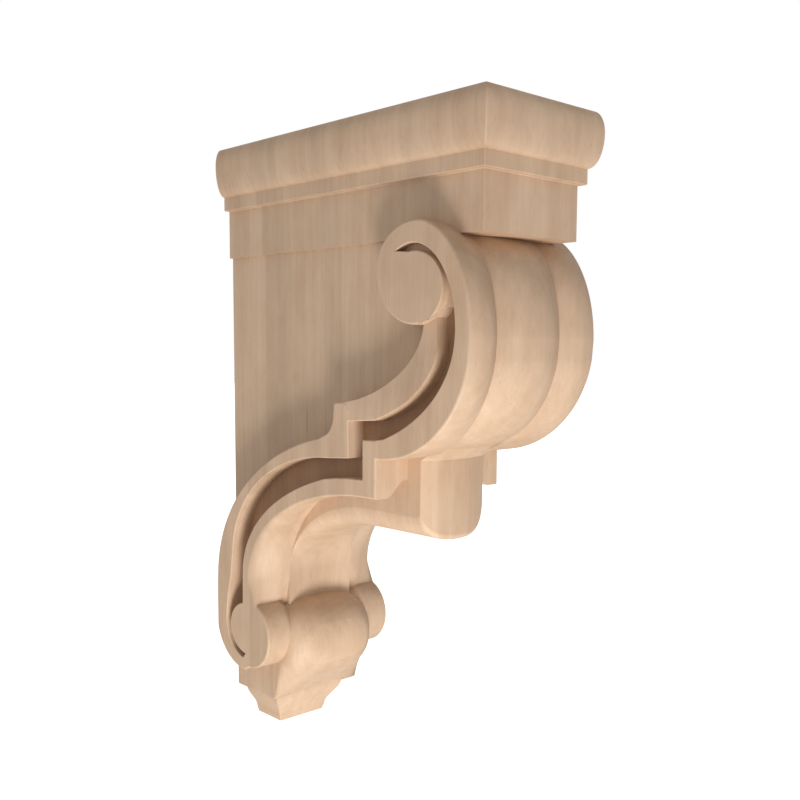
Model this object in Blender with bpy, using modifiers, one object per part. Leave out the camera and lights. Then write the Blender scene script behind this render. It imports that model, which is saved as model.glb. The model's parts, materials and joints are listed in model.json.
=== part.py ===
"""A carved wooden scroll corbel with a moulded cap, an S scroll, a lower roll and a stepped pendant.

X runs across the corbel, the wall is the plane Y = 0 and the front faces -Y. The origin is on the
flat back, half way up, where the corbel is fixed to the wall. The free carving of the scroll is
drawn in shares: "front" is a share of REACH, measured out from the wall, and "up" is a share of
HEIGHT, measured up from the pendant's foot. Only the right half is modelled, and a mirror makes
the left one.
"""

import math

import bmesh
import bpy

# Driving dimensions, in metres
HEIGHT = 0.330
REACH = 0.200
SCROLL_WIDTH = 0.0863
LOBE_WIDTH = 0.0436
BELLY_STANDOUT = 0.0032
FRIEZE_WIDTH = 0.0642
FRIEZE_HEIGHT = 0.0261
CAP_HEIGHT = 0.0259
CAP_TOP_OVERHANG = 0.0049
CAP_OVERHANG = 0.0086
CAP_SWELL_DROP = 0.0096
CAP_FILLET_HEIGHT = 0.0074
CAP_FILLET_OVERHANG = 0.0032
PANEL_INSET = 0.0020
GROOVE_DEPTH = 0.0100
CRESCENT_DEPTH = 0.0044
STRIP_SINK = 0.0036
ROLL_RADIUS = 0.0192
NECK_INSET = 0.0009
BALL_WIDTH = 0.0593
BALL_RADIUS = 0.0245
BALL_END_RADIUS = 0.0120
BALL_FOOT_SINK = 0.0003
PENDANT_WIDTH = 0.0596
PENDANT_DEPTH = 0.0368
PENDANT_FOOT_WIDTH = 0.0309
PENDANT_FOOT_HEIGHT = 0.0033
PENDANT_FOOT_CHAMFER = 0.0012
PENDANT_STEP = 0.0058
PENDANT_STEP_HEIGHT = 0.0021
PENDANT_BLOCK_BOTTOM = 0.0206

# How far each shaping piece runs on past the middle and into the wall before it is cut off there.
# They differ, so that no two pieces have a face in one plane
JOIN_OVERLAP = 0.0040
LOBE_OVERLAP = 0.0047
CAP_OVERLAP = 0.0053
PENDANT_OVERLAP = 0.0160
BALL_OVERLAP = 0.0034

# Number of faces along the curves
ARC_STEPS = 9
TURN_STEPS = 28

WOOD_COLOUR = (0.58, 0.38, 0.21, 1.0)
WOOD_ROUGHNESS = 0.62


def place(front, up):
    """Point (y, z) of the side view, from its shares of the reach and the height."""
    return (-front * REACH, up * HEIGHT)


def arc(front, up, front_radius, up_radius, start, end, steps=ARC_STEPS):
    """Elliptical arc of the side view: 0 degrees looks to the front and 90 degrees up."""
    points = []
    for step in range(steps + 1):
        angle = math.radians(start + (end - start) * step / steps)
        points.append(place(front + front_radius * math.cos(angle), up + up_radius * math.sin(angle)))
    return points


def smooth(value):
    """Ease from 0 to 1 without a corner at either end."""
    value = min(1.0, max(0.0, value))
    return value * value * (3.0 - 2.0 * value)


def new_collection(name):
    collection = bpy.data.collections.new(name)
    bpy.context.scene.collection.children.link(collection)
    return collection


def mesh_object(name, mesh, collection):
    made = bpy.data.objects.new(name, mesh)
    collection.objects.link(made)
    return made


def loft(name, rings, collection):
    """Closed solid through rings that all have the same number of points."""
    mesh = bpy.data.meshes.new(name)
    shape = bmesh.new()
    rows = [[shape.verts.new(point) for point in ring] for ring in rings]
    for row, following in zip(rows, rows[1:]):
        for index in range(len(row)):
            beside = (index + 1) % len(row)
            shape.faces.new((row[index], row[beside], following[beside], following[index]))
    shape.faces.new(rows[0])
    shape.faces.new(rows[-1])
    bmesh.ops.remove_doubles(shape, verts=shape.verts, dist=0.000001)
    bmesh.ops.recalc_face_normals(shape, faces=shape.faces)
    shape.to_mesh(mesh)
    shape.free()
    return mesh_object(name, mesh, collection)


def slab(name, outline, inner, outer, collection):
    """Flat side-view outline, as thick as the distance from X = inner to X = outer."""
    return loft(name, [[(across, y, z) for y, z in outline] for across in (inner, outer)], collection)


def stacked_moulding(name, half_width, depth, overlap, profile, collection):
    """Moulding that runs round the front and the sides: profile holds (overhang, z) pairs."""
    rings = []
    for overhang, z in profile:
        side = half_width + overhang
        front = -(depth + overhang)
        hidden = overlap + overhang
        rings.append([
            (-hidden, hidden, z),
            (-hidden, front, z),
            (side, front, z),
            (side, hidden, z),
        ])
    return loft(name, rings, collection)


# Heights of the mouldings at the top
CAP_FILLET_TOP = HEIGHT - CAP_HEIGHT
FRIEZE_TOP = CAP_FILLET_TOP - CAP_FILLET_HEIGHT
FRIEZE_BOTTOM = FRIEZE_TOP - FRIEZE_HEIGHT
FRIEZE_DEPTH = REACH - BELLY_STANDOUT

SCROLL_HALF = SCROLL_WIDTH / 2
LOBE_HALF = LOBE_WIDTH / 2
PANEL_HALF = FRIEZE_WIDTH / 2 - PANEL_INSET

# Where the round ends of a band start to narrow to a neck, just inside the pendant's sides
NECK_HALF = PENDANT_WIDTH / 2 - NECK_INSET

# Centre of the round band ends in the side view, as shares
ROLL_FRONT = 0.157
ROLL_UP = 0.182

# Ellipses round the volute's eye, as shares: centre front and up, then radii front and up
EYE_LOWER = (0.826, 0.775, 0.131, 0.0755)
EYE_UPPER = (0.823, 0.748, 0.093, 0.0505)
CRESCENT = (0.817, 0.690, 0.137, 0.119)


def band_inward(across):
    """Share of the way from the band's outer edge in to the lobe, and how far it is past that."""
    inward = (SCROLL_HALF - across) / (SCROLL_HALF - LOBE_HALF)
    return min(1.0, inward), max(0.0, inward - 1.0)


def shoulder_offset(across):
    """How far the belly stands out beside its edge: a low round shoulder, then the crease."""
    inward, buried = band_inward(across)
    return 0.012 * math.sin(math.pi * inward) - 0.020 * inward * inward - 0.09 * buried


def hollow_offset(across):
    """How far the lower hollow stands out beside its rounded edge, up to the rib along the lobe."""
    inward, buried = band_inward(across)
    rounding = 0.013 * max(0.0, 1.0 - inward / 0.16) ** 2
    return 0.034 * math.sin(0.5 * math.pi * inward) - rounding - 0.09 * buried


def soffit_rise(across):
    """How much the soffit behind the step is scooped up on its way in to the lobe."""
    return 0.024 * smooth((band_inward(across)[0] - 0.35) / 0.55)


def band_outline(across):
    """Side view of the carved band and its two round ends, at one distance from the middle."""
    belly = shoulder_offset(across)
    hollow = hollow_offset(across)
    soffit = 0.451 + soffit_rise(across)
    neck = 1.0 - 0.15 * smooth((NECK_HALF - across) / (0.22 * NECK_HALF))
    roll_front = ROLL_RADIUS * neck / REACH
    roll_up = ROLL_RADIUS * neck / HEIGHT
    outline = arc(0.826, 0.775, 0.131, 0.065, 180, 90)
    outline += arc(0.825, 0.680, 0.175 + belly, 0.160, 84, 0)
    outline += arc(0.703, 0.680, 0.297 + belly, 0.171, -9, -90)
    outline += [place(0.696, 0.509), place(0.696, soffit)]
    outline += arc(0.660, 0.275, 0.488 - hollow, soffit - 0.275, 90, 180)
    outline += arc(ROLL_FRONT, ROLL_UP, roll_front, roll_up, 68, -90, 12)
    outline += arc(0.132, 0.200, 0.141, 0.084, 270, 180, 6)
    outline += arc(0.678, 0.266, 0.680, 0.278, 178, 107)
    outline += arc(0.490, 0.570, 0.046, 0.034, -78, 0, 4)
    outline += [place(0.539, 0.586)]
    outline += arc(0.512, 0.705, 0.328, 0.118, -84, -9)
    outline += arc(*EYE_LOWER, 276, 188, 8)
    return outline


def crescent_outline():
    """Side view of the shallow crescent that runs round the volute's eye."""
    outline = arc(*CRESCENT, 112.5, 7.5, 14)
    return outline + arc(*EYE_UPPER, -40, 100, 14)


def groove_outline():
    """Side view of the deep channel, from under the eye down to its tip under the roll."""
    outline = arc(*CRESCENT, 15, 0, 2)
    outline += arc(0.495, 0.688, 0.458, 0.171, -3, -60)
    outline += [place(0.690, 0.5365), place(0.649, 0.5355), place(0.649, 0.4775)]
    outline += [place(0.590, 0.4762), place(0.546, 0.4739)]
    outline += arc(0.825, 0.286, 0.696, 0.208, 118, 180)
    outline += arc(0.149, 0.190, 0.085, 0.045, 105, 262, 8)
    outline += arc(0.140, 0.200, 0.096, 0.063, 262, 180, 6)
    outline += [place(0.053, 0.238), place(0.069, 0.275)]
    outline += arc(0.5245, 0.310, 0.445, 0.192, 177, 92)
    outline += [place(0.597, 0.506), place(0.594, 0.5605)]
    outline += arc(0.495, 0.671, 0.391, 0.1226, -60, 0)
    outline += [place(0.882, 0.700)]
    return outline + arc(*EYE_UPPER, -50, -30, 2)


def strip_sink_rings():
    """Shaving that lets the back strip sink under the eye and rise to full level at the step."""
    low = 0.570 * HEIGHT
    high = 0.702 * HEIGHT
    panel_edge = arc(0.512, 0.705, 0.308, 0.108, -82, -10, 8)
    groove_edge = arc(0.495, 0.680, 0.424, 0.145, -66, -6, 8)
    rows = []
    for (y, z), (far_y, far_z) in zip(panel_edge, groove_edge):
        rows.append([(y + (far_y - y) * step / 6, z + (far_z - z) * step / 6) for step in range(7)])
    under_eye = [place(0.815, 0.6975), place(0.832, 0.6980)] + arc(*EYE_LOWER, 281, 287, 1)
    rows.append(under_eye + arc(*EYE_UPPER, -60, -44, 2))
    rings = []
    for row in rows:
        sunk = [(SCROLL_HALF - STRIP_SINK * smooth((z - low) / (high - low)), y, z) for y, z in row]
        rings.append(sunk + [(SCROLL_HALF + JOIN_OVERLAP, y, z) for y, z in reversed(row)])
    return rings


def lobe_outline(across):
    """Side view of the middle lobe, from the belly over the tongue to the roll."""
    share = across / LOBE_HALF
    belly = 0.018 - 0.0385 * share * share
    tongue = 0.770 - 0.030 * share * share
    foot = 0.384 + 0.050 * (1.0 - (1.0 - (0.99 * share) ** 2.7) ** (1.0 / 2.7))
    hollow = 0.2054 - 0.017 * (1.0 - share * share)
    round_front = 0.013
    round_up = 0.009
    behind = -LOBE_OVERLAP / REACH
    outline = [place(behind, 0.835), place(0.780, 0.835)]
    outline += arc(0.825, 0.680, 0.175 + belly, 0.160, 84, 0)
    outline += arc(0.703, 0.680, 0.297 + belly, 0.166, -9, -72)
    outline += [place(tongue, 0.505)]
    outline += arc(tongue - round_front, foot + round_up, round_front, round_up, 0, -90, 4)
    outline += arc(0.540, 0.280, 0.540 - hollow, foot - 0.280, 90, 180)
    outline += [place(hollow, 0.180), place(0.130, 0.140), place(behind, 0.140)]
    return outline


def core_outline():
    """Side view of the plain core behind the carving, flat on the wall side."""
    behind = -JOIN_OVERLAP / REACH
    outline = [place(behind, 0.848), place(0.800, 0.848)]
    outline += arc(0.809, 0.735, 0.109, 0.080, 80, 0)
    outline += arc(0.495, 0.688, 0.440, 0.160, -6, -62)
    outline += [place(0.612, 0.548), place(0.612, 0.490)]
    outline += arc(0.560, 0.250, 0.440, 0.235, 90, 180)
    outline += [place(0.120, 0.130), place(behind, 0.130)]
    return outline


def build_cap(collection):
    """Ovolo cap with a fillet under it, mitred round the front and the sides."""
    profile = []
    swell_z = HEIGHT - CAP_SWELL_DROP
    for step in range(6):
        angle = math.radians(90 - 90 * step / 5)
        overhang = CAP_TOP_OVERHANG + (CAP_OVERHANG - CAP_TOP_OVERHANG) * math.cos(angle)
        profile.append((overhang, swell_z + CAP_SWELL_DROP * math.sin(angle)))
    for step in range(1, 9):
        angle = math.radians(90 * step / 8)
        overhang = CAP_FILLET_OVERHANG + (CAP_OVERHANG - CAP_FILLET_OVERHANG) * math.cos(angle)
        profile.append((overhang, swell_z - (swell_z - CAP_FILLET_TOP) * math.sin(angle)))
    profile.append((CAP_FILLET_OVERHANG, FRIEZE_TOP))
    profile.append((0.0, FRIEZE_TOP))
    profile.append((0.0, FRIEZE_BOTTOM))
    return stacked_moulding("cap_and_frieze", FRIEZE_WIDTH / 2, FRIEZE_DEPTH, CAP_OVERLAP, profile, collection)


def build_pendant(collection):
    """Stepped drop: a square block, a soffit step, a body curving in both ways and a small foot."""
    foot_in = (PENDANT_WIDTH - PENDANT_FOOT_WIDTH) / 2
    body_top = PENDANT_BLOCK_BOTTOM - PENDANT_STEP_HEIGHT
    steps = 8
    profile = [(0.0, 0.145 * HEIGHT), (0.0, PENDANT_BLOCK_BOTTOM)]
    for step in range(steps + 1):
        share = step / steps
        inward = PENDANT_STEP + (foot_in - PENDANT_FOOT_CHAMFER - PENDANT_STEP) * smooth(share)
        profile.append((-inward, body_top + (PENDANT_FOOT_HEIGHT - body_top) * share))
    profile.append((-foot_in, 0.0))
    return stacked_moulding("pendant", PENDANT_WIDTH / 2, PENDANT_DEPTH, PENDANT_OVERLAP, profile, collection)


def build_band(collection):
    """Right-hand band of the scroll, from the crease beside the lobe out to the side face."""
    outer_shares = (0.0, 0.06, 0.18, 0.36, 0.54, 0.72, 0.88)
    inner_shares = (0.0, 0.3, 0.65, 1.0)
    stations = [SCROLL_HALF + (NECK_HALF - SCROLL_HALF) * share for share in outer_shares]
    stations += [NECK_HALF + (LOBE_HALF - NECK_HALF) * share for share in inner_shares]
    stations.append(LOBE_HALF - JOIN_OVERLAP)
    rings = [[(across, y, z) for y, z in band_outline(across)] for across in stations]
    return loft("band", rings, collection)


def build_lobe(collection):
    """Middle lobe with the tongue that hangs below the step."""
    shares = (0.0, 0.2, 0.4, 0.6, 0.75, 0.87, 0.95, 1.0)
    rings = [[(-LOBE_OVERLAP, y, z) for y, z in lobe_outline(0.0)]]
    for share in shares:
        across = LOBE_HALF * share
        rings.append([(across, y, z) for y, z in lobe_outline(across)])
    return loft("lobe", rings, collection)


def build_ball(collection):
    """Ball of the lower roll: a full barrel with round ends, run out on the pendant's front."""
    stations = (-1.0, 0.0, 0.24, 0.44, 0.60, 0.72, 0.82, 0.89, 0.945, 0.98, 1.0)
    y, z = place(0.173, 0.1612)
    foot = (BALL_FOOT_SINK - PENDANT_DEPTH, PENDANT_BLOCK_BOTTOM + BALL_FOOT_SINK)
    rings = []
    for signed_station in stations:
        station = max(0.0, signed_station)
        across = station * BALL_WIDTH / 2 if signed_station >= 0.0 else -BALL_OVERLAP
        radius = BALL_END_RADIUS + (BALL_RADIUS - BALL_END_RADIUS) * math.sqrt(1.0 - station ** 4)
        ring = [(across, foot[0], foot[1])]
        for step in range(TURN_STEPS + 1):
            angle = math.radians(-48 + 280 * step / TURN_STEPS)
            ring.append((across, y - radius * math.cos(angle), z + radius * math.sin(angle)))
        rings.append(ring)
    return loft("ball", rings, collection)


def combine(target, operand, operation):
    step = target.modifiers.new(operation.lower() + "_" + operand.name, "BOOLEAN")
    step.operation = operation
    step.solver = "EXACT"
    step.object = operand
    operand.hide_render = True
    operand.display_type = "WIRE"


def build_wood():
    material = bpy.data.materials.new("wood")
    material.use_nodes = True
    shader = material.node_tree.nodes["Principled BSDF"]
    shader.inputs["Base Color"].default_value = WOOD_COLOUR
    shader.inputs["Roughness"].default_value = WOOD_ROUGHNESS
    shader.inputs["Metallic"].default_value = 0.0
    return material


def build_corbel():
    parts = new_collection("corbel_bracket")
    pieces = new_collection("shaping_pieces")
    corbel = slab("corbel", core_outline(), -JOIN_OVERLAP, PANEL_HALF, parts)
    for piece in (
        build_cap(pieces),
        build_lobe(pieces),
        build_band(pieces),
        build_ball(pieces),
        build_pendant(pieces),
    ):
        combine(corbel, piece, "UNION")
    outside = SCROLL_HALF + JOIN_OVERLAP
    crescent = slab("crescent", crescent_outline(), SCROLL_HALF - CRESCENT_DEPTH, outside, pieces)
    combine(corbel, crescent, "DIFFERENCE")
    groove = slab("groove", groove_outline(), SCROLL_HALF - GROOVE_DEPTH, outside, pieces)
    combine(corbel, groove, "DIFFERENCE")
    sink = loft("strip_sink", strip_sink_rings(), pieces)
    combine(corbel, sink, "DIFFERENCE")
    wall_outline = [(0.0, -SCROLL_WIDTH), (REACH, -SCROLL_WIDTH), (REACH, HEIGHT + REACH), (0.0, HEIGHT + REACH)]
    wall = slab("wall", wall_outline, -SCROLL_WIDTH, SCROLL_WIDTH, pieces)
    combine(corbel, wall, "DIFFERENCE")
    halves = corbel.modifiers.new("left_half", "MIRROR")
    halves.use_axis = (True, False, False)
    halves.use_bisect_axis = (True, False, False)
    halves.use_mirror_merge = True
    halves.merge_threshold = 0.00001
    corbel.data.materials.append(build_wood())
    corbel.location = (0.0, 0.0, -HEIGHT / 2)
    for piece in pieces.objects:
        piece.location.z -= HEIGHT / 2
    return corbel


for existing in list(bpy.data.objects):
    bpy.data.objects.remove(existing)
build_corbel()
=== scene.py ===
"""A carved wooden scroll corbel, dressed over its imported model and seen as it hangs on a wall."""

import json
import math

import bmesh
import bpy
from mathutils import Matrix, Vector

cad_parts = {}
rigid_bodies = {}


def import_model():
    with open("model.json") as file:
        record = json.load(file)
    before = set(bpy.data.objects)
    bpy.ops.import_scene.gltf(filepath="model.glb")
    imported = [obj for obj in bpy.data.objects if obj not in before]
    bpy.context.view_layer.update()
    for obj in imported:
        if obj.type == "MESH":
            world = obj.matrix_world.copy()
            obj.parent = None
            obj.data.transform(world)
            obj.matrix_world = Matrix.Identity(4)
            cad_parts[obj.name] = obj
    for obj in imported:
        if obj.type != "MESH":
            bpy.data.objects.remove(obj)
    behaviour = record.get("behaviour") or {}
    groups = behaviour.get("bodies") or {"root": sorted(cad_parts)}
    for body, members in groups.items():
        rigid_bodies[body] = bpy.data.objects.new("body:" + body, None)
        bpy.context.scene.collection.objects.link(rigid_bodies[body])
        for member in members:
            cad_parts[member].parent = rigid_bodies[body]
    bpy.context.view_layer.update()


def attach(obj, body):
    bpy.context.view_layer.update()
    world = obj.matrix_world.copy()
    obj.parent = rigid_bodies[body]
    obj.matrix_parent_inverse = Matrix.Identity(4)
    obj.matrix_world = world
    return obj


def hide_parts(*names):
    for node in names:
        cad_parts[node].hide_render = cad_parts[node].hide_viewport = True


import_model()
scene = bpy.context.scene


# The blank is one upright block of light hardwood, glued up from boards that run from top to bottom.
# Its sides are planed flat, its back stays flat against the wall, and its front is bandsawn to a
# rough S that all the carving is then worked into.
HEIGHT = 0.330
REACH = 0.200
BLOCK_WIDTH = 0.0642
PANEL_INSET = 0.0020
SCROLL_WIDTH = 0.0863
SCROLL_HALF = SCROLL_WIDTH / 2
PANEL_HALF = BLOCK_WIDTH / 2 - PANEL_INSET
CORE_OVERLAP = 0.0040
WELD_DISTANCE = 0.000002

shaping = bpy.data.collections.new("shaping")
scene.collection.children.link(shaping)


def place(front, up):
    """Point (y, z) of the side view: front is a share of the reach, up a share of the height."""
    return (-front * REACH, (up - 0.5) * HEIGHT)


def arc(front, up, front_radius, up_radius, start, end, steps):
    """Elliptical arc of the side view: 0 degrees looks to the front and 90 degrees up."""
    points = []
    for step in range(steps + 1):
        angle = math.radians(start + (end - start) * step / steps)
        points.append(place(front + front_radius * math.cos(angle), up + up_radius * math.sin(angle)))
    return points


def carve_piece(name, rings):
    """Closed form through rings that all have the same number of points."""
    mesh = bpy.data.meshes.new(name)
    form = bmesh.new()
    rows = [[form.verts.new(point) for point in ring] for ring in rings]
    for row, following in zip(rows, rows[1:]):
        for index in range(len(row)):
            beside = (index + 1) % len(row)
            form.faces.new((row[index], row[beside], following[beside], following[index]))
    form.faces.new(rows[0])
    form.faces.new(rows[-1])
    bmesh.ops.remove_doubles(form, verts=form.verts, dist=WELD_DISTANCE)
    bmesh.ops.recalc_face_normals(form, faces=form.faces)
    form.to_mesh(mesh)
    form.free()
    piece = bpy.data.objects.new(name, mesh)
    shaping.objects.link(piece)
    return piece


def block_outline():
    """Side view of the block behind the carving, straight on the wall side."""
    behind = -CORE_OVERLAP / REACH
    outline = [place(behind, 0.848), place(0.800, 0.848)]
    outline += arc(0.809, 0.735, 0.109, 0.080, 80, 0, 12)
    outline += arc(0.495, 0.688, 0.440, 0.160, -6, -62, 24)
    outline += [place(0.612, 0.548), place(0.612, 0.490)]
    outline += arc(0.560, 0.250, 0.440, 0.235, 90, 180, 24)
    outline += [place(0.120, 0.130), place(behind, 0.130)]
    return outline


def at(across, outline):
    """A side view set at one distance from the middle."""
    return [(across, y, z) for y, z in outline]


block = carve_piece("block", [at(-CORE_OVERLAP, block_outline()), at(PANEL_HALF, block_outline())])


# The cap is a thick ovolo over a narrow fillet, and the plain frieze stands under it. They run round
# the front and both sides with mitred corners, cut from the block with a shaped cutter and sanded.
CAP_HEIGHT = 0.0259
CAP_TOP_OVERHANG = 0.0049
CAP_OVERHANG = 0.0086
CAP_SWELL_DROP = 0.0096
CAP_FILLET_HEIGHT = 0.0074
CAP_FILLET_OVERHANG = 0.0032
FRIEZE_HEIGHT = 0.0261
FRIEZE_DEPTH = 0.1968
CAP_OVERLAP = 0.0053
CAP_FILLET_TOP = HEIGHT / 2 - CAP_HEIGHT
FRIEZE_TOP = CAP_FILLET_TOP - CAP_FILLET_HEIGHT
FRIEZE_BOTTOM = FRIEZE_TOP - FRIEZE_HEIGHT
CAP_TOP_STEPS = 12
CAP_SWELL_STEPS = 18
SANDED_EDGE = 0.0006
CORNER_STEPS = 4
SOFT_STEPS = 3
SOFT_FROM_ANGLE = 25
SOFT_SHARE_OF_EDGE = 0.45


def softened(profile, radius):
    """Rounds each sharp corner of an open profile of (overhang, z) pairs."""
    points = [profile[0]]
    for before, corner, after in zip(profile, profile[1:], profile[2:]):
        back = Vector(before) - Vector(corner)
        ahead = Vector(after) - Vector(corner)
        turn = math.pi - back.angle(ahead) if back.length > 0 and ahead.length > 0 else 0.0
        if turn < math.radians(SOFT_FROM_ANGLE):
            points.append(corner)
            continue
        cut = min(radius, min(back.length, ahead.length) * SOFT_SHARE_OF_EDGE)
        start = Vector(corner) + back.normalized() * cut
        end = Vector(corner) + ahead.normalized() * cut
        for step in range(SOFT_STEPS + 1):
            share = step / SOFT_STEPS
            point = start * (1 - share) ** 2 + Vector(corner) * 2 * share * (1 - share) + end * share ** 2
            points.append(tuple(point))
    points.append(profile[-1])
    return points


def mitred_moulding(name, half_width, depth, overlap, profile, corner):
    """Moulding round the front and one side, with its mitred corner sanded to a small radius."""
    rings = []
    for overhang, z in profile:
        side = half_width + overhang
        front = -(depth + overhang)
        hidden = overlap + overhang
        ring = [(-hidden, hidden, z), (-hidden, front, z)]
        for step in range(CORNER_STEPS + 1):
            angle = math.radians(90 * step / CORNER_STEPS)
            ring.append((side - corner * (1 - math.sin(angle)), front + corner * (1 - math.cos(angle)), z))
        ring.append((side, hidden, z))
        rings.append(ring)
    return carve_piece(name, rings)


swell_z = HEIGHT / 2 - CAP_SWELL_DROP
cap_profile = []
for step in range(CAP_TOP_STEPS + 1):
    angle = math.radians(90 - 90 * step / CAP_TOP_STEPS)
    swell = CAP_TOP_OVERHANG + (CAP_OVERHANG - CAP_TOP_OVERHANG) * math.cos(angle)
    cap_profile.append((swell, swell_z + CAP_SWELL_DROP * math.sin(angle)))
for step in range(1, CAP_SWELL_STEPS + 1):
    angle = math.radians(90 * step / CAP_SWELL_STEPS)
    swell = CAP_FILLET_OVERHANG + (CAP_OVERHANG - CAP_FILLET_OVERHANG) * math.cos(angle)
    cap_profile.append((swell, swell_z - (swell_z - CAP_FILLET_TOP) * math.sin(angle)))
cap_profile += [(CAP_FILLET_OVERHANG, FRIEZE_TOP), (0.0, FRIEZE_TOP), (0.0, FRIEZE_BOTTOM)]
cap_profile = softened(cap_profile, SANDED_EDGE)
cap = mitred_moulding("cap", BLOCK_WIDTH / 2, FRIEZE_DEPTH, CAP_OVERLAP, cap_profile, SANDED_EDGE)


# The side bands of the S scroll stand proud of the block's sides, one on each side. Each swells into
# the belly, steps back, runs down the lower hollow and ends in a round roll at both ends. They are
# carved in one with the block, and their outer edges are sanded round.
LOBE_HALF = 0.0436 / 2
NECK_HALF = 0.0289
ROLL_RADIUS = 0.0192
ROLL_FRONT = 0.157
ROLL_UP = 0.182
BAND_OVERLAP = 0.0040
BAND_EDGE = 0.0011
BAND_EDGE_STEPS = 4
BAND_STATIONS = 30

# The shortest edge that still gives a direction, and the least cosine used at a sharp corner
SHORTEST_EDGE = 0.00002
LEAST_CORNER = 0.6

# Ellipses of the volute in the side view: centre front and up, then the radii front and up
EYE_LOWER = (0.826, 0.775, 0.131, 0.0755)
EYE_UPPER = (0.823, 0.748, 0.093, 0.0505)
CRESCENT = (0.817, 0.690, 0.137, 0.119)


def smooth(value):
    """Ease from 0 to 1 without a corner at either end."""
    value = min(1.0, max(0.0, value))
    return value * value * (3.0 - 2.0 * value)


def band_inward(across):
    """Share of the way from the band's outer edge in to the lobe, and how far it is past that."""
    inward = (SCROLL_HALF - across) / (SCROLL_HALF - LOBE_HALF)
    return min(1.0, inward), max(0.0, inward - 1.0)


def band_outline(across):
    """Side view of the carved band and its two round ends, at one distance from the middle."""
    inward, buried = band_inward(across)
    belly = 0.012 * math.sin(math.pi * inward) - 0.020 * inward * inward - 0.09 * buried
    rounding = 0.013 * max(0.0, 1.0 - inward / 0.16) ** 2
    hollow = 0.034 * math.sin(0.5 * math.pi * inward) - rounding - 0.09 * buried
    soffit = 0.451 + 0.024 * smooth((inward - 0.35) / 0.55)
    neck = 1.0 - 0.15 * smooth((NECK_HALF - across) / (0.22 * NECK_HALF))
    outline = arc(0.826, 0.775, 0.131, 0.065, 180, 90, 24)
    outline += arc(0.825, 0.680, 0.175 + belly, 0.160, 84, 0, 28)
    outline += arc(0.703, 0.680, 0.297 + belly, 0.171, -9, -90, 32)
    outline += [place(0.696, 0.509), place(0.696, soffit)]
    outline += arc(0.660, 0.275, 0.488 - hollow, soffit - 0.275, 90, 180, 30)
    roll_radius = ROLL_RADIUS * neck
    outline += arc(ROLL_FRONT, ROLL_UP, roll_radius / REACH, roll_radius / HEIGHT, 68, -90, 30)
    outline += arc(0.132, 0.200, 0.141, 0.084, 270, 180, 14)
    outline += arc(0.678, 0.266, 0.680, 0.278, 178, 107, 34)
    outline += arc(0.490, 0.570, 0.046, 0.034, -78, 0, 10)
    outline += [place(0.539, 0.586)]
    outline += arc(0.512, 0.705, 0.328, 0.118, -84, -6, 26)
    outline += arc(*EYE_LOWER, 276, 188, 24)
    return outline


def moved_in(outline, distance):
    """The outline with each point moved into the form by a small distance."""
    turning = 0.0
    for (y, z), (next_y, next_z) in zip(outline, outline[1:] + outline[:1]):
        turning += y * next_z - next_y * z
    side = 1.0 if turning > 0 else -1.0
    count = len(outline)
    moved = []
    for index in range(count):
        here = Vector(outline[index])
        normals = []
        for direction in (-1, 1):
            other = index
            edge = Vector((0.0, 0.0))
            while edge.length < SHORTEST_EDGE:
                other = (other + direction) % count
                edge = (Vector(outline[other]) - here) * direction
            normals.append(Vector((-edge.y, edge.x)).normalized() * side)
        middle = (normals[0] + normals[1]).normalized()
        step_in = distance / max(LEAST_CORNER, middle.dot(normals[0]))
        moved.append(tuple(here + middle * step_in))
    return moved


band_rings = []
for step in range(BAND_EDGE_STEPS):
    angle = math.radians(90 * step / BAND_EDGE_STEPS)
    across = SCROLL_HALF - BAND_EDGE * (1 - math.cos(angle))
    band_rings.append(at(across, moved_in(band_outline(across), BAND_EDGE * (1 - math.sin(angle)))))
for step in range(BAND_STATIONS + 1):
    across = SCROLL_HALF - BAND_EDGE + (LOBE_HALF - SCROLL_HALF + BAND_EDGE) * step / BAND_STATIONS
    band_rings.append(at(across, band_outline(across)))
band_rings.append(at(LOBE_HALF - BAND_OVERLAP, band_outline(LOBE_HALF - BAND_OVERLAP)))
band = carve_piece("band", band_rings)


# The middle lobe fills the belly between the two creases. It runs down over the step as a hanging
# tongue with a round end, and on down the lower hollow as a shallow trough between two ribs.
LOBE_OVERLAP = 0.0047
LOBE_STATIONS = 18
TONGUE_CORNER = 2.7


def lobe_outline(across):
    """Side view of the middle lobe, from the belly over the tongue to the roll."""
    share = across / LOBE_HALF
    belly = 0.018 - 0.0385 * share * share
    tongue = 0.770 - 0.030 * share * share
    corner = (1.0 - (0.99 * share) ** TONGUE_CORNER) ** (1.0 / TONGUE_CORNER)
    foot = 0.384 + 0.050 * (1.0 - corner)
    hollow = 0.2054 - 0.017 * (1.0 - share * share)
    behind = -LOBE_OVERLAP / REACH
    outline = [place(behind, 0.835), place(0.780, 0.835)]
    outline += arc(0.825, 0.680, 0.175 + belly, 0.160, 84, 0, 28)
    outline += arc(0.703, 0.680, 0.297 + belly, 0.166, -9, -72, 26)
    outline += [place(tongue, 0.505)]
    outline += arc(tongue - 0.013, foot + 0.009, 0.013, 0.009, 0, -90, 8)
    outline += arc(0.540, 0.280, 0.540 - hollow, foot - 0.280, 90, 180, 30)
    outline += [place(hollow, 0.180), place(0.130, 0.140), place(behind, 0.140)]
    return outline


lobe_rings = [at(-LOBE_OVERLAP, lobe_outline(0.0))]
for step in range(LOBE_STATIONS + 1):
    across = LOBE_HALF * math.sin(math.radians(90 * step / LOBE_STATIONS))
    lobe_rings.append(at(across, lobe_outline(across)))
lobe = carve_piece("lobe", lobe_rings)


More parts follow.
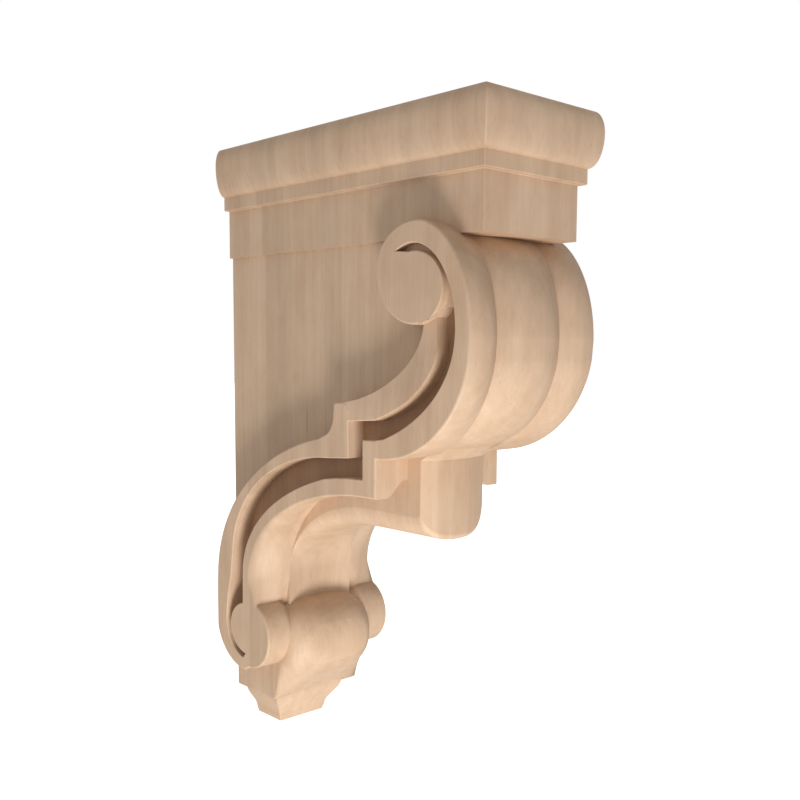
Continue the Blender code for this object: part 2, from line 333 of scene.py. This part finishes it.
# The lower roll ends the scroll: a round wheel on each side, and between them a fuller ball that
# swells forward, is rounded off at its ends and runs out on the pendant's front. It is carved last.
BALL_RADIUS = 0.0245
BALL_END_RADIUS = 0.0120
BALL_HALF = 0.02965
BALL_OVERLAP = 0.0034
BALL_FOOT_DEPTH = 0.0366
BALL_FOOT = 0.0210
BALL_STATIONS = 24
BALL_TURN_STEPS = 72
BALL_FIRST_TURN = -48
BALL_SWEEP = 280

ball_rings = []
centre_y, centre_z = place(0.173, 0.1612)
for step in range(-1, BALL_STATIONS + 1):
    station = max(0.0, math.sin(math.radians(90 * step / BALL_STATIONS)))
    fullness = math.sqrt(1.0 - station ** 4)
    radius = BALL_END_RADIUS + (BALL_RADIUS - BALL_END_RADIUS) * fullness
    across = station * BALL_HALF if step >= 0 else -BALL_OVERLAP
    ring = [(across, -BALL_FOOT_DEPTH, BALL_FOOT - HEIGHT / 2)]
    for turn in range(BALL_TURN_STEPS + 1):
        angle = math.radians(BALL_FIRST_TURN + BALL_SWEEP * turn / BALL_TURN_STEPS)
        ring.append((across, centre_y - radius * math.cos(angle), centre_z + radius * math.sin(angle)))
    ball_rings.append(ring)
ball = carve_piece("ball", ball_rings)


# The pendant under the roll is a square drop: a block, a small step in, a body that curves in both
# ways and a flat foot. Its corners are mitred like the cap's.
PENDANT_WIDTH = 0.0596
PENDANT_DEPTH = 0.0368
PENDANT_FOOT_WIDTH = 0.0309
PENDANT_FOOT_HEIGHT = 0.0033
PENDANT_FOOT_CHAMFER = 0.0012
PENDANT_STEP = 0.0058
PENDANT_STEP_HEIGHT = 0.0021
PENDANT_BLOCK_BOTTOM = 0.0206
PENDANT_OVERLAP = 0.0160
PENDANT_TOP = 0.145 * HEIGHT
PENDANT_STEPS = 20

foot_in = (PENDANT_WIDTH - PENDANT_FOOT_WIDTH) / 2
body_top = PENDANT_BLOCK_BOTTOM - PENDANT_STEP_HEIGHT
pendant_profile = [(0.0, PENDANT_TOP), (0.0, PENDANT_BLOCK_BOTTOM)]
for step in range(PENDANT_STEPS + 1):
    share = step / PENDANT_STEPS
    inward = PENDANT_STEP + (foot_in - PENDANT_FOOT_CHAMFER - PENDANT_STEP) * smooth(share)
    pendant_profile.append((-inward, body_top + (PENDANT_FOOT_HEIGHT - body_top) * share))
pendant_profile.append((-foot_in, 0.0))
pendant_profile = [(overhang, z - HEIGHT / 2) for overhang, z in softened(pendant_profile, SANDED_EDGE)]
pendant = mitred_moulding(
    "pendant", PENDANT_WIDTH / 2, PENDANT_DEPTH, PENDANT_OVERLAP, pendant_profile, SANDED_EDGE
)


# A channel is cut into each side band, between its front fillet and its back strip. It follows the S
# from a thin crescent round the volute's eye down to a point under the roll, and its rims are eased.
GROOVE_DEPTH = 0.0100
CRESCENT_DEPTH = 0.0044
GROOVE_RIM = 0.0006
GROOVE_RIM_STEPS = 4
GROOVE_OVERLAP = 0.0041
STRIP_SINK = 0.0036
SINK_STEPS = 30
SINK_POINTS = 6


def crescent_outline():
    """Side view of the shallow crescent that runs round the volute's eye."""
    outline = arc(*CRESCENT, 112.5, 7.5, 42)
    return outline + arc(*EYE_UPPER, -40, 100, 28)


def groove_outline():
    """Side view of the deep channel, from under the eye down to its tip under the roll."""
    outline = arc(*CRESCENT, 15, 0, 6)
    outline += arc(0.495, 0.688, 0.458, 0.171, -3, -60, 26)
    outline += [place(0.690, 0.5365), place(0.649, 0.5355), place(0.649, 0.4775)]
    outline += [place(0.590, 0.4762), place(0.546, 0.4739)]
    outline += arc(0.825, 0.286, 0.696, 0.208, 118, 180, 30)
    outline += arc(0.149, 0.190, 0.085, 0.045, 105, 262, 22)
    outline += arc(0.140, 0.200, 0.096, 0.063, 262, 180, 14)
    outline += [place(0.053, 0.238), place(0.069, 0.275)]
    outline += arc(0.5245, 0.310, 0.445, 0.192, 177, 92, 34)
    outline += [place(0.597, 0.506), place(0.594, 0.5605)]
    outline += arc(0.495, 0.671, 0.391, 0.1226, -60, 0, 26)
    outline += [place(0.882, 0.700)]
    return outline + arc(*EYE_UPPER, -50, -30, 4)


def channel_cutter(name, outline, depth):
    """Cutter that leaves an eased rim where it enters the side face."""
    wide = moved_in(outline, -GROOVE_RIM)
    rings = [at(SCROLL_HALF + GROOVE_OVERLAP, wide)]
    for step in range(GROOVE_RIM_STEPS + 1):
        angle = math.radians(90 * step / GROOVE_RIM_STEPS)
        across = SCROLL_HALF - GROOVE_RIM * (1 - math.cos(angle))
        rings.append(at(across, moved_in(outline, -GROOVE_RIM * (1 - math.sin(angle)))))
    rings.append(at(SCROLL_HALF - depth, outline))
    return carve_piece(name, rings)


def strip_sink_cutter():
    """Shaving that lets the back strip sink under the eye and rise to full level at the step."""
    low = place(0.0, 0.570)[1]
    high = place(0.0, 0.702)[1]
    panel_edge = arc(0.512, 0.705, 0.308, 0.108, -82, -10, SINK_STEPS)
    groove_edge = arc(0.495, 0.680, 0.424, 0.145, -66, -6, SINK_STEPS)
    shares = [step / SINK_POINTS for step in range(SINK_POINTS + 1)]
    rows = []
    for near, far in zip(panel_edge, groove_edge):
        rows.append([tuple(Vector(near).lerp(Vector(far), share)) for share in shares])
    under_eye = [place(0.815, 0.6975), place(0.832, 0.6980)] + arc(*EYE_LOWER, 281, 287, 1)
    rows.append(under_eye + arc(*EYE_UPPER, -60, -44, 2))
    rings = []
    for row in rows:
        sunk = [(SCROLL_HALF - STRIP_SINK * smooth((z - low) / (high - low)), y, z) for y, z in row]
        rings.append(sunk + [(SCROLL_HALF + CORE_OVERLAP, y, z) for y, z in reversed(row)])
    return carve_piece("strip_sink", rings)


crescent = channel_cutter("crescent", crescent_outline(), CRESCENT_DEPTH)
groove = channel_cutter("groove", groove_outline(), GROOVE_DEPTH)
strip_sink = strip_sink_cutter()


# The corbel is one carved piece, so all of the above is joined into one body, cut off flat where it
# meets the wall, and mirrored for the left half. It is held by its back and rides on nothing else.
WALL_CUT = 0.4
MIDDLE_MERGE = 0.00001
SHARP_CORNER = 32

wall_square = [(0.0, -WALL_CUT), (WALL_CUT, -WALL_CUT), (WALL_CUT, WALL_CUT), (0.0, WALL_CUT)]
wall = carve_piece("wall", [at(-WALL_CUT, wall_square), at(WALL_CUT, wall_square)])

for piece, operation in (
    (cap, "UNION"),
    (lobe, "UNION"),
    (band, "UNION"),
    (ball, "UNION"),
    (pendant, "UNION"),
    (crescent, "DIFFERENCE"),
    (groove, "DIFFERENCE"),
    (strip_sink, "DIFFERENCE"),
    (wall, "DIFFERENCE"),
):
    work = block.modifiers.new(piece.name, "BOOLEAN")
    work.operation = operation
    work.solver = "EXACT"
    work.object = piece
halves = block.modifiers.new("left_half", "MIRROR")
halves.use_axis = (True, False, False)
halves.use_bisect_axis = (True, False, False)
halves.merge_threshold = MIDDLE_MERGE

bpy.context.view_layer.update()
carved = bpy.data.meshes.new_from_object(block.evaluated_get(bpy.context.evaluated_depsgraph_get()))
carved.shade_smooth()
carved.set_sharp_from_angle(angle=math.radians(SHARP_CORNER))
for piece in list(shaping.objects):
    bpy.data.objects.remove(piece)
bpy.data.collections.remove(shaping)
carved.name = "carved_corbel"
corbel = bpy.data.objects.new("carved_corbel", carved)
scene.collection.objects.link(corbel)
shading = corbel.modifiers.new("even_shading", "WEIGHTED_NORMAL")
shading.keep_sharp = True
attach(corbel, "root")
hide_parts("corbel")


# The wood is pale maple, planed and sanded and left bare. Eight boards are glued side by side from
# the wall out to the front, so each has its own tone, grain and growth rings, all running upright.
BOARD_JOINTS = (0.0320, 0.0560, 0.0843, 0.0981, 0.1166, 0.1508, 0.1691)
BOARD_TONES = (1.00, 0.92, 0.98, 0.91, 0.97, 1.00, 0.94, 0.98)
BOARD_PITHS = (0.15, 0.80, 0.35, 0.95, 0.55, 0.05, 0.70, 0.42)
STREAK_DEPTH = 0.0687
STREAK_UP = 0.0167
STREAK_WOBBLE = 0.0010
STREAK_HALF_WIDTH = 0.0007
STREAK_FADE = (0.004, 0.009)
STREAK_SIDE = (-0.029, -0.028)
STREAK_STRENGTH = 0.5
LIGHT_WOOD = (0.70, 0.510, 0.360, 1.0)
DARK_WOOD = (0.53, 0.357, 0.230, 1.0)
FLECK_COLOUR = (0.30, 0.17, 0.09, 1.0)
STREAK_COLOUR = (0.20, 0.11, 0.06, 1.0)
# Painted shade: the darker tint laid on the channel floors in place of their shadow
CHANNEL_FLOOR_SHADE_TINT = (0.66, 0.56, 0.48, 1.0)
END_GRAIN_TINT = (0.72, 0.64, 0.56, 1.0)
RINGS_PER_METRE = 260.0
RING_WANDER = 0.05
PITH_LEAN = 0.045
PITH_SIDE_SPREAD = 0.12
PITH_BACK_SPREAD = 0.16
PITH_BACK_LEAST = 0.05
RING_WANDER_SCALE = (6.0, 6.0, 1.6)
FIBRE_SCALE = (900.0, 900.0, 22.0)
BROAD_STREAK_SCALE = (130.0, 130.0, 5.0)
CLOUD_SCALE = (22.0, 22.0, 9.0)
BLOTCH_SCALE = (75.0, 75.0, 48.0)
FLECK_SCALE = (1500.0, 1500.0, 110.0)
NOISE_LOW = 0.3
NOISE_HIGH = 0.7
LATE_WOOD_RANGE = (0.35, 1.0)
BLOTCH_RANGE = (0.4, 0.65)
FLECK_RANGE = (0.66, 0.76)
LATE_WOOD_DARKNESS = 0.09
FIBRE_DARKNESS = 0.16
BROAD_STREAK_DARKNESS = 0.36
CLOUD_DARKNESS = 0.40
BLOTCH_DARKNESS = 0.22
FLECK_STRENGTH = 0.25
# Painted shade: how far from the channel floor's level the painted darkening fades out
CHANNEL_FLOOR_SHADE_FADE = (0.0002, 0.0006)
FACING_POWER = 6.0
END_GRAIN_STRENGTH = 0.5
WOOD_ROUGHNESS = (0.50, 0.64)
LATE_WOOD_RELIEF = -0.3

wood = bpy.data.materials.new("bare_maple")
wood.use_nodes = True
tree = wood.node_tree
shader = tree.nodes["Principled BSDF"]


def node(kind, **settings):
    """Adds a shader node and sets its own options."""
    made = tree.nodes.new(kind)
    for key, value in settings.items():
        setattr(made, key, value)
    return made


def sum_up(operation, first, second=None):
    """Math node on one or two sockets or numbers. Gives its output."""
    made = node("ShaderNodeMath", operation=operation)
    for socket, value in zip(made.inputs, (first, second)):
        if value is None:
            continue
        if isinstance(value, bpy.types.NodeSocket):
            tree.links.new(value, socket)
        else:
            socket.default_value = value
    return made.outputs[0]


def stretched_noise(scale, size, detail, roughness=0.5):
    """Noise in the wood's own space, stretched by a scale for each axis."""
    mapping = node("ShaderNodeMapping")
    mapping.inputs["Scale"].default_value = scale
    tree.links.new(place_in_wood.outputs["Object"], mapping.inputs["Vector"])
    noise = node("ShaderNodeTexNoise")
    noise.inputs["Scale"].default_value = size
    noise.inputs["Detail"].default_value = detail
    noise.inputs["Roughness"].default_value = roughness
    tree.links.new(mapping.outputs["Vector"], noise.inputs["Vector"])
    return noise.outputs["Fac"]


def spread(value, low, high, out_low, out_high):
    """Maps a value from one range to another, held at both ends."""
    made = node("ShaderNodeMapRange")
    tree.links.new(value, made.inputs["Value"])
    made.inputs["From Min"].default_value = low
    made.inputs["From Max"].default_value = high
    made.inputs["To Min"].default_value = out_low
    made.inputs["To Max"].default_value = out_high
    return made.outputs["Result"]


place_in_wood = node("ShaderNodeTexCoord")
axes = node("ShaderNodeSeparateXYZ")
tree.links.new(place_in_wood.outputs["Object"], axes.inputs["Vector"])

# Which board a point is in, from its distance to the wall
out_from_wall = sum_up("MULTIPLY", axes.outputs["Y"], -1.0 / REACH)
boards = node("ShaderNodeValToRGB")
boards.color_ramp.interpolation = "CONSTANT"
while len(boards.color_ramp.elements) < len(BOARD_TONES):
    boards.color_ramp.elements.new(1.0)
for stop, start, tone, pith in zip(
    boards.color_ramp.elements, (0.0,) + BOARD_JOINTS, BOARD_TONES, BOARD_PITHS
):
    stop.position = start / REACH
    stop.color = (tone, pith, 0.0, 1.0)
tree.links.new(out_from_wall, boards.inputs["Fac"])
board = node("ShaderNodeSeparateColor")
tree.links.new(boards.outputs["Color"], board.inputs["Color"])
tone = board.outputs[0]
pith = board.outputs[1]

# Growth rings round each board's own pith, which leans a little, so that curved cuts show arches
wander = stretched_noise(RING_WANDER_SCALE, 1.0, 2.0)
pith_x = sum_up("MULTIPLY", sum_up("SUBTRACT", pith, 0.5), PITH_SIDE_SPREAD)
from_pith_x = sum_up("SUBTRACT", axes.outputs["X"], pith_x)
pith_y = sum_up("ADD", sum_up("MULTIPLY", pith, PITH_BACK_SPREAD), PITH_BACK_LEAST)
lean = sum_up("MULTIPLY", axes.outputs["Z"], PITH_LEAN)
from_pith_y = sum_up("ADD", sum_up("ADD", axes.outputs["Y"], pith_y), lean)
square_x = sum_up("MULTIPLY", from_pith_x, from_pith_x)
square_y = sum_up("MULTIPLY", from_pith_y, from_pith_y)
ring_distance = sum_up("SQRT", sum_up("ADD", square_x, square_y))
wandering = sum_up("ADD", ring_distance, sum_up("MULTIPLY", wander, RING_WANDER))
ring_count = sum_up("MULTIPLY", wandering, RINGS_PER_METRE)
ring = sum_up("FRACT", ring_count)
late_wood = spread(ring, *LATE_WOOD_RANGE, 0.0, 1.0)

# Fibres, broad upright streaks, slow clouds, soft blotches and short dark flecks
fibres = stretched_noise(FIBRE_SCALE, 1.0, 4.0, 0.6)
streaks = stretched_noise(BROAD_STREAK_SCALE, 1.0, 3.0, 0.6)
clouds = stretched_noise(CLOUD_SCALE, 1.0, 3.0)
blotches = stretched_noise(BLOTCH_SCALE, 1.0, 4.0, 0.65)
flecks = spread(stretched_noise(FLECK_SCALE, 1.0, 1.0), *FLECK_RANGE, 0.0, 1.0)

darkness = sum_up("MULTIPLY", late_wood, LATE_WOOD_DARKNESS)
darkness = sum_up("ADD", darkness, spread(fibres, NOISE_LOW, NOISE_HIGH, 0.0, FIBRE_DARKNESS))
darkness = sum_up("ADD", darkness, spread(streaks, NOISE_LOW, NOISE_HIGH, 0.0, BROAD_STREAK_DARKNESS))
darkness = sum_up("ADD", darkness, spread(clouds, NOISE_LOW, NOISE_HIGH, 0.0, CLOUD_DARKNESS))
darkness = sum_up("ADD", darkness, spread(blotches, *BLOTCH_RANGE, 0.0, BLOTCH_DARKNESS))

wood_colour = node("ShaderNodeValToRGB")
wood_colour.color_ramp.elements[0].color = LIGHT_WOOD
wood_colour.color_ramp.elements[1].color = DARK_WOOD
tree.links.new(darkness, wood_colour.inputs["Fac"])

toned = node("ShaderNodeMix", data_type="RGBA", blend_type="MULTIPLY")
toned.inputs["Factor"].default_value = 1.0
tree.links.new(wood_colour.outputs["Color"], toned.inputs["A"])
tone_grey = node("ShaderNodeCombineColor")
for channel in tone_grey.inputs[:3]:
    tree.links.new(tone, channel)
tree.links.new(tone_grey.outputs["Color"], toned.inputs["B"])

flecked = node("ShaderNodeMix", data_type="RGBA", blend_type="MIX")
tree.links.new(sum_up("MULTIPLY", flecks, FLECK_STRENGTH), flecked.inputs["Factor"])
tree.links.new(toned.outputs["Result"], flecked.inputs["A"])
flecked.inputs["B"].default_value = FLECK_COLOUR

# One short dark mineral streak in the left side
off_streak = sum_up("ADD", axes.outputs["Y"], sum_up("MULTIPLY", streaks, STREAK_WOBBLE))
across_streak = sum_up("ABSOLUTE", sum_up("ADD", off_streak, STREAK_DEPTH))
streak_width = spread(across_streak, 0.0, STREAK_HALF_WIDTH, 1.0, 0.0)
along_streak = sum_up("ABSOLUTE", sum_up("SUBTRACT", axes.outputs["Z"], STREAK_UP))
streak_end = spread(along_streak, *STREAK_FADE, 1.0, 0.0)
streak_side = spread(axes.outputs["X"], *STREAK_SIDE, 1.0, 0.0)
streak = sum_up("MULTIPLY", sum_up("MULTIPLY", streak_width, streak_end), streak_side)
marked = node("ShaderNodeMix", data_type="RGBA", blend_type="MIX")
tree.links.new(sum_up("MULTIPLY", streak, STREAK_STRENGTH), marked.inputs["Factor"])
tree.links.new(flecked.outputs["Result"], marked.inputs["A"])
marked.inputs["B"].default_value = STREAK_COLOUR

# Painted shade: the floors of the channels are darkened in colour, standing in for the shadow that falls
# into the deep channels
surface = node("ShaderNodeSeparateXYZ")
tree.links.new(place_in_wood.outputs["Normal"], surface.inputs["Vector"])
from_floor = sum_up("SUBTRACT", sum_up("ABSOLUTE", axes.outputs["X"]), SCROLL_HALF - GROOVE_DEPTH)
at_floor = spread(sum_up("ABSOLUTE", from_floor), *CHANNEL_FLOOR_SHADE_FADE, 1.0, 0.0)
facing_side = sum_up("POWER", sum_up("ABSOLUTE", surface.outputs["X"]), FACING_POWER)
painted_floor_shade = sum_up("MULTIPLY", at_floor, facing_side)
shaded_floors = node("ShaderNodeMix", data_type="RGBA", blend_type="MULTIPLY")
tree.links.new(painted_floor_shade, shaded_floors.inputs["Factor"])
tree.links.new(marked.outputs["Result"], shaded_floors.inputs["A"])
shaded_floors.inputs["B"].default_value = CHANNEL_FLOOR_SHADE_TINT

# Cut ends of the fibres, at the top and under the ledges, look darker than the long grain
end_grain = sum_up("POWER", sum_up("ABSOLUTE", surface.outputs["Z"]), FACING_POWER)
ended = node("ShaderNodeMix", data_type="RGBA", blend_type="MULTIPLY")
tree.links.new(sum_up("MULTIPLY", end_grain, END_GRAIN_STRENGTH), ended.inputs["Factor"])
tree.links.new(shaded_floors.outputs["Result"], ended.inputs["A"])
ended.inputs["B"].default_value = END_GRAIN_TINT

tree.links.new(ended.outputs["Result"], shader.inputs["Base Color"])
tree.links.new(spread(fibres, NOISE_LOW, NOISE_HIGH, *WOOD_ROUGHNESS), shader.inputs["Roughness"])
shader.inputs["Specular IOR Level"].default_value = 0.35
shader.inputs["Metallic"].default_value = 0.0

relief = node("ShaderNodeBump")
relief.inputs["Strength"].default_value = 0.25
relief.inputs["Distance"].default_value = 0.0003
grain_height = sum_up("ADD", fibres, sum_up("MULTIPLY", late_wood, LATE_WOOD_RELIEF))
tree.links.new(grain_height, relief.inputs["Height"])
tree.links.new(relief.outputs["Normal"], shader.inputs["Normal"])
corbel.data.materials.append(wood)


# The room is a pale floor well below the hanging corbel, under a white studio sky. The floor glows
# only to the camera, and the sky lights the wood at a little over half the strength it is seen at.
FLOOR_DROP = 1.10
FLOOR_SIZE = 60.0
FLOOR_GLOW = 0.8
FILL_STRENGTH = 0.56

floor_mesh = bpy.data.meshes.new("floor")
floor_shape = bmesh.new()
bmesh.ops.create_grid(floor_shape, x_segments=1, y_segments=1, size=FLOOR_SIZE / 2)
floor_shape.to_mesh(floor_mesh)
floor_shape.free()
floor = bpy.data.objects.new("floor", floor_mesh)
floor.location = (0.0, 0.0, -HEIGHT / 2 - FLOOR_DROP)
scene.collection.objects.link(floor)
floor_paint = bpy.data.materials.new("pale_floor")
floor_paint.use_nodes = True
floor_shader = floor_paint.node_tree.nodes["Principled BSDF"]
floor_shader.inputs["Base Color"].default_value = (0.9, 0.9, 0.89, 1.0)
floor_shader.inputs["Roughness"].default_value = 0.9
floor_shader.inputs["Emission Color"].default_value = (1.0, 1.0, 0.99, 1.0)
floor_nodes = floor_paint.node_tree.nodes
floor_links = floor_paint.node_tree.links
floor_seen = floor_nodes.new("ShaderNodeLightPath")
floor_glow = floor_nodes.new("ShaderNodeMath")
floor_glow.operation = "MULTIPLY"
floor_glow.inputs[1].default_value = FLOOR_GLOW
floor_links.new(floor_seen.outputs["Is Camera Ray"], floor_glow.inputs[0])
floor_links.new(floor_glow.outputs["Value"], floor_shader.inputs["Emission Strength"])
floor_mesh.materials.append(floor_paint)

sky = bpy.data.worlds.new("studio")
sky.use_nodes = True
scene.world = sky
sky_nodes = sky.node_tree.nodes
sky_links = sky.node_tree.links
fill_light = sky_nodes["Background"]
fill_light.inputs["Color"].default_value = (1.0, 0.99, 0.98, 1.0)
fill_light.inputs["Strength"].default_value = FILL_STRENGTH
backdrop = sky_nodes.new("ShaderNodeBackground")
backdrop.inputs["Color"].default_value = (1.0, 1.0, 1.0, 1.0)
backdrop.inputs["Strength"].default_value = 1.0
seen = sky_nodes.new("ShaderNodeLightPath")
chosen = sky_nodes.new("ShaderNodeMixShader")
sky_links.new(seen.outputs["Is Camera Ray"], chosen.inputs["Fac"])
sky_links.new(fill_light.outputs["Background"], chosen.inputs[1])
sky_links.new(backdrop.outputs["Background"], chosen.inputs[2])
sky_links.new(chosen.outputs["Shader"], sky_nodes["World Output"].inputs["Surface"])


# One soft lamp stands close to the corbel and below the camera, so the lower carving is the
# brightest and its shadows fall up and to the right.
LAMP_PLACE = (-0.25, -0.46, -0.42)
LAMP_AIM = (0.0, -0.09, 0.0)
LAMP_SIZE = 0.20
LAMP_POWER = 3.6

lamp_light = bpy.data.lights.new("soft_lamp", "AREA")
lamp_light.shape = "DISK"
lamp_light.size = LAMP_SIZE
lamp_light.energy = LAMP_POWER
lamp_light.color = (1.0, 0.99, 0.98)
lamp = bpy.data.objects.new("soft_lamp", lamp_light)
lamp.location = LAMP_PLACE
lamp.rotation_euler = (Vector(LAMP_PLACE) - Vector(LAMP_AIM)).to_track_quat("Z", "Y").to_euler()
scene.collection.objects.link(lamp)


# The camera stands to the left of the front, a little above the corbel's middle, where the lines
# of the photograph put it, and looks slightly down.
CAMERA_PLACE = (-0.34442, -0.48688, 0.05561)
CAMERA_TURN = -43.3148
CAMERA_TIP = 5.8603
CAMERA_ROLL = 0.3614
CAMERA_LENS = 44.230
CAMERA_SENSOR = 36.0
CAMERA_SHIFT = (-0.019975, 0.060913)

camera_lens = bpy.data.cameras.new("camera")
camera_lens.sensor_width = CAMERA_SENSOR
camera_lens.lens = CAMERA_LENS
camera_lens.shift_x, camera_lens.shift_y = CAMERA_SHIFT
camera_lens.clip_start = 0.01
camera_lens.clip_end = 200.0
camera = bpy.data.objects.new("camera", camera_lens)
swing = math.radians(CAMERA_TURN)
tip = math.radians(CAMERA_TIP)
roll = math.radians(CAMERA_ROLL)
backward = Vector((math.sin(swing) * math.cos(tip), -math.cos(swing) * math.cos(tip), math.sin(tip)))
level_right = (-backward).cross(Vector((0.0, 0.0, 1.0))).normalized()
level_up = level_right.cross(-backward)
right = level_right * math.cos(roll) + level_up * math.sin(roll)
upward = level_up * math.cos(roll) - level_right * math.sin(roll)
turned = Matrix((right, upward, backward)).transposed().to_4x4()
camera.matrix_world = Matrix.Translation(CAMERA_PLACE) @ turned
scene.collection.objects.link(camera)
scene.camera = camera
scene.view_settings.view_transform = "Standard"
